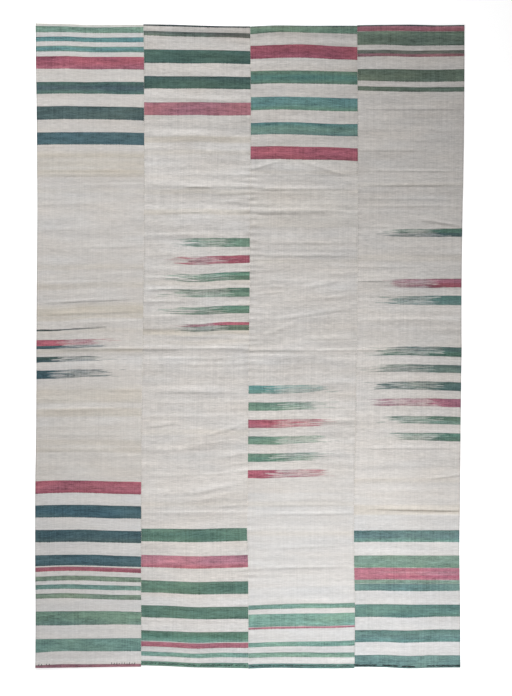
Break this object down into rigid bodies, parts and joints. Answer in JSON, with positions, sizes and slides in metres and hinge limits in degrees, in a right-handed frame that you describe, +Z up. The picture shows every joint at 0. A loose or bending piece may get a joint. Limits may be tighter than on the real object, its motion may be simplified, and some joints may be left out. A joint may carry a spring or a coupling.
{
  "type": "persian kilim rug",
  "caption": "Flat-woven wool floor rug of narrow handwoven strips sewn edge to edge, undyed ground with plain coloured weft stripes and streaked bars.",
  "frame": {"origin": "middle of the rug's outline, on the floor that it lies on", "axes": "+Y along the rug's length, towards the end with the narrow green and teal stripes on the left strip; +X across the strips, from the first strip to the fourth; +Z up, out of the cloth's face"},
  "size_m": [2.0179, 3.033, 0.0074],
  "materials": {
    "wool_panel_1": "matt handwoven wool, weft-faced, undyed ground with green, teal, blue and madder red stripes",
    "wool_panel_2": "matt handwoven wool, weft-faced, undyed ground with green, pink and red stripes",
    "wool_panel_3": "matt handwoven wool, weft-faced, undyed ground with green, teal and red stripes",
    "wool_panel_4": "matt handwoven wool, weft-faced, undyed ground with green, teal, blue and pink stripes"
  },
  "bodies": {
    "root": {"panel_1": "wool_panel_1", "panel_2": "wool_panel_2", "panel_3": "wool_panel_3", "panel_4": "wool_panel_4"}
  },
  "joints": []
}
